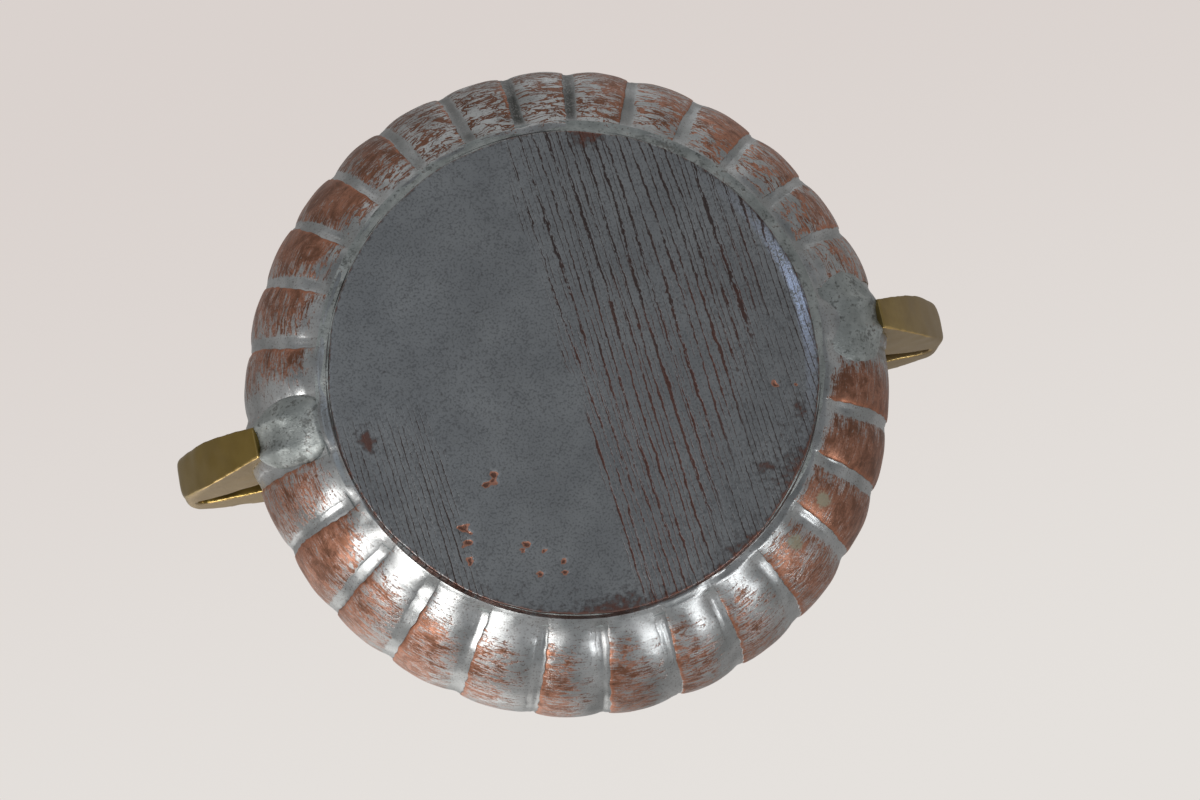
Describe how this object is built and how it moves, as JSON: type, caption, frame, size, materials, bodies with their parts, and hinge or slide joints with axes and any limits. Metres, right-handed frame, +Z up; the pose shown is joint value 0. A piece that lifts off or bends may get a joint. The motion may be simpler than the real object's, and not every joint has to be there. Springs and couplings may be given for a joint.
{
  "type": "lidded bowl",
  "caption": "Squat lobed bowl of tinned copper with a petalled domed lid, a brass finial and two cast brass loop handles soldered on",
  "frame": {"origin": "centre of the base plate's underside, where the bowl stands", "axes": "+X through the right-hand handle, +Y to the back, +Z up through the knob"},
  "size_m": [0.15, 0.1209, 0.0864],
  "materials": {
    "tinned_copper": "hand chased copper with worn tin",
    "tinned_plate": "dull tin with file lines",
    "tin_solder": "wiped tin solder",
    "cast_brass": "filed, dulled casting"
  },
  "bodies": {
    "bowl": {"bowl_wall": "tinned_copper", "base_plate": "tinned_plate", "base_solder": "tin_solder", "rim_bead": "tinned_copper", "handle_left": "cast_brass", "handle_right": "cast_brass", "handle_left_lower_solder": "tin_solder", "handle_left_upper_solder": "tin_solder", "handle_right_lower_solder": "tin_solder", "handle_right_upper_solder": "tin_solder"},
    "lid": {"lid_shell": "tinned_copper", "lid_collar": "tinned_copper", "lid_collar_solder": "tin_solder", "knob": "cast_brass", "knob_rosette": "cast_brass", "knob_washer": "cast_brass"}
  },
  "joints": [
    {"name": "lid_lift", "type": "slide", "parent": "bowl", "child": "lid", "axis": [0, 0, 1], "range_m": [0, 0.06]}
  ]
}
